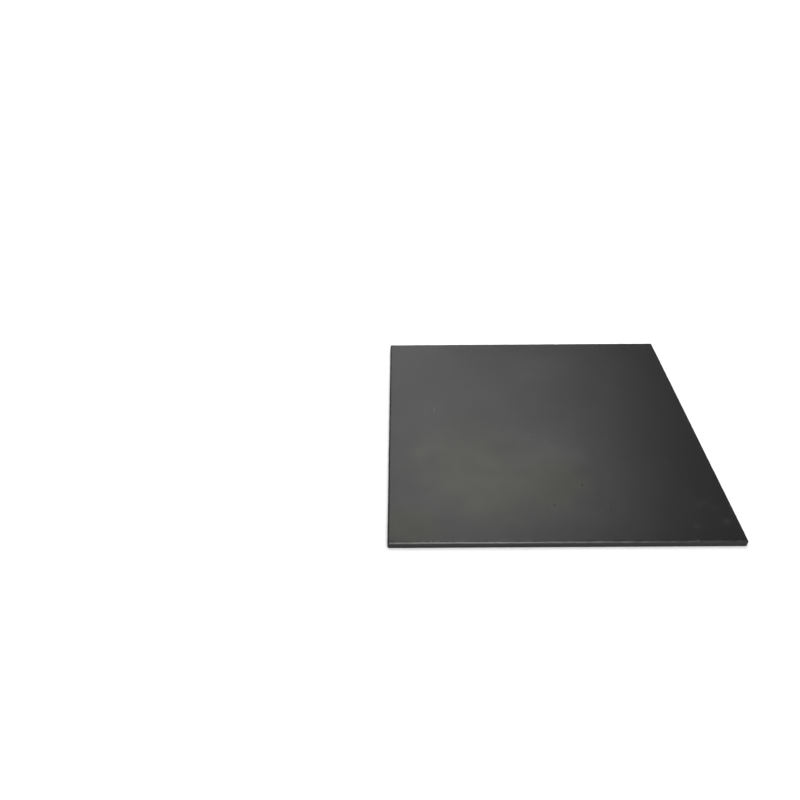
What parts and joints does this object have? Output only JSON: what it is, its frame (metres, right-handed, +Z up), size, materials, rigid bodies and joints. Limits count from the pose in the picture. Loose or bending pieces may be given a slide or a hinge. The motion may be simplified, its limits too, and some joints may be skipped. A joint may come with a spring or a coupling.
{
  "type": "protective floor tile",
  "caption": "Square black rubber protective floor tile with a chamfered top edge, laid loose or glued edge to edge.",
  "frame": {"origin": "centre of the flat underside", "axes": "+Z up through the thickness; +X and +Y along two neighbouring sides of the square"},
  "size_m": [1, 1, 0.02],
  "materials": {
    "rubber": "satin moulded skin on top, finely granular sides and underside"
  },
  "bodies": {
    "root": {"rubber_tile": "rubber"}
  },
  "joints": []
}
